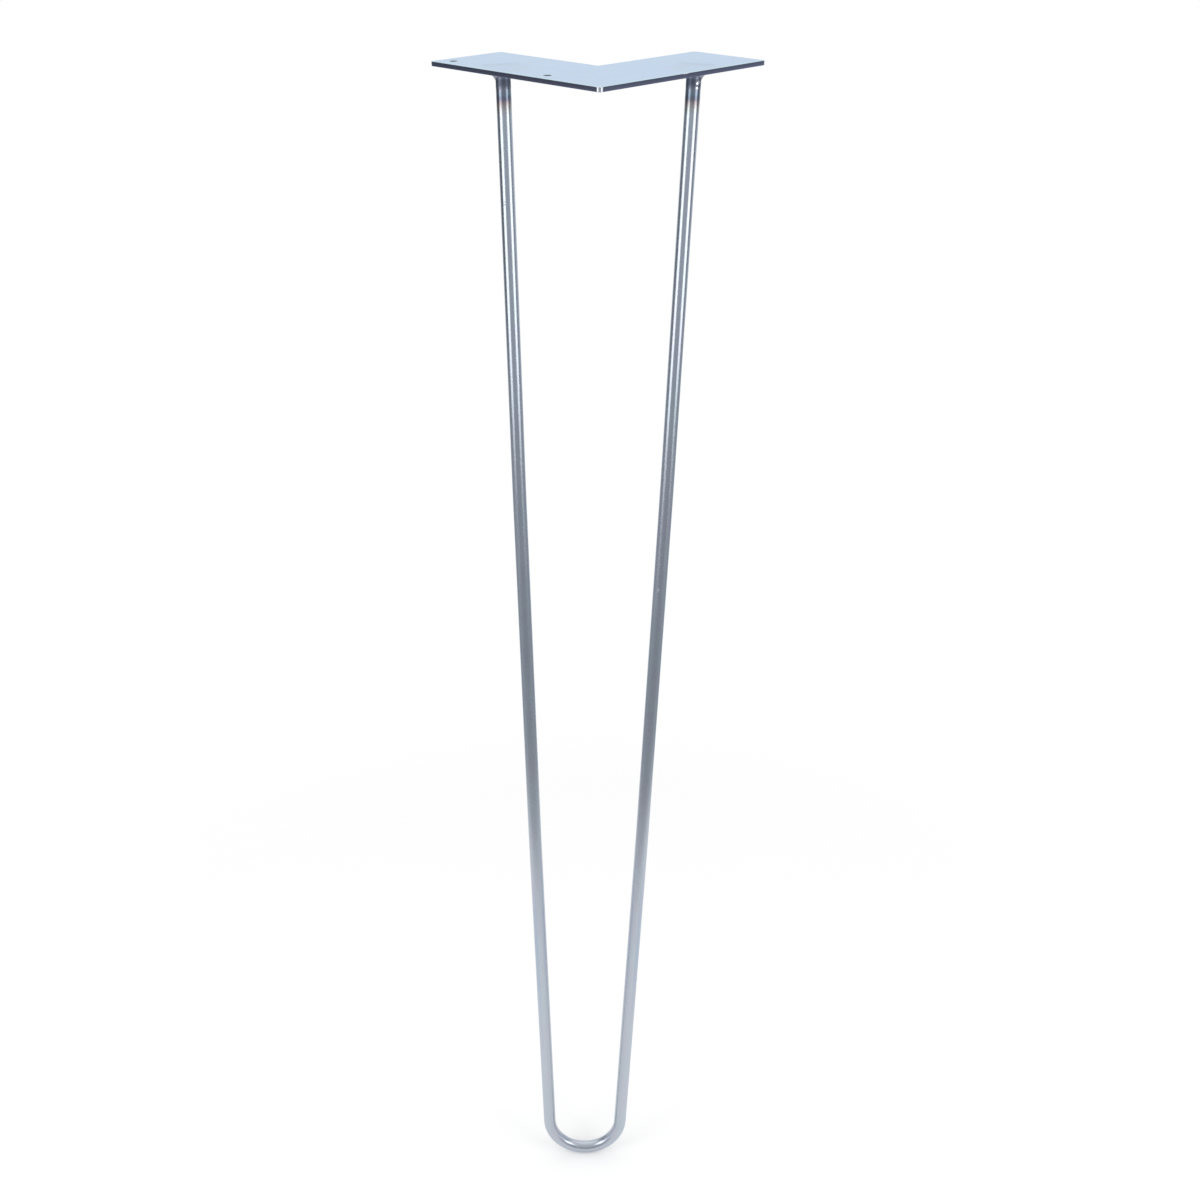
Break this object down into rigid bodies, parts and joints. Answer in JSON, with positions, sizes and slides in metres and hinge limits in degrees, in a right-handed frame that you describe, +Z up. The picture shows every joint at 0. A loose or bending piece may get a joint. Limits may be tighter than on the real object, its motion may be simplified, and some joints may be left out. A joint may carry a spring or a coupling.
{
  "type": "hairpin table leg",
  "caption": "Bare steel hairpin table leg: a round bar bent to a narrow U, its ends welded under a flat L-shaped screw plate.",
  "frame": {"origin": "on the plate's top face, where the centre lines of its two arms cross", "axes": "+X along the right arm, +Y along the left arm as seen from outside the corner, +Z up out of the plate's top face"},
  "size_m": [0.1612, 0.1454, 0.7111],
  "materials": {
    "plate_steel": "bare cold-rolled sheet, satin",
    "bar_steel": "bare drawn bar, satin, tinted by heat at its ends",
    "weld_steel": "bare weld metal, dark, rippled"
  },
  "bodies": {
    "root": {"mounting_plate": "plate_steel", "hairpin_bar": "bar_steel", "weld_bead_left": "weld_steel", "weld_bead_right": "weld_steel"}
  },
  "joints": []
}
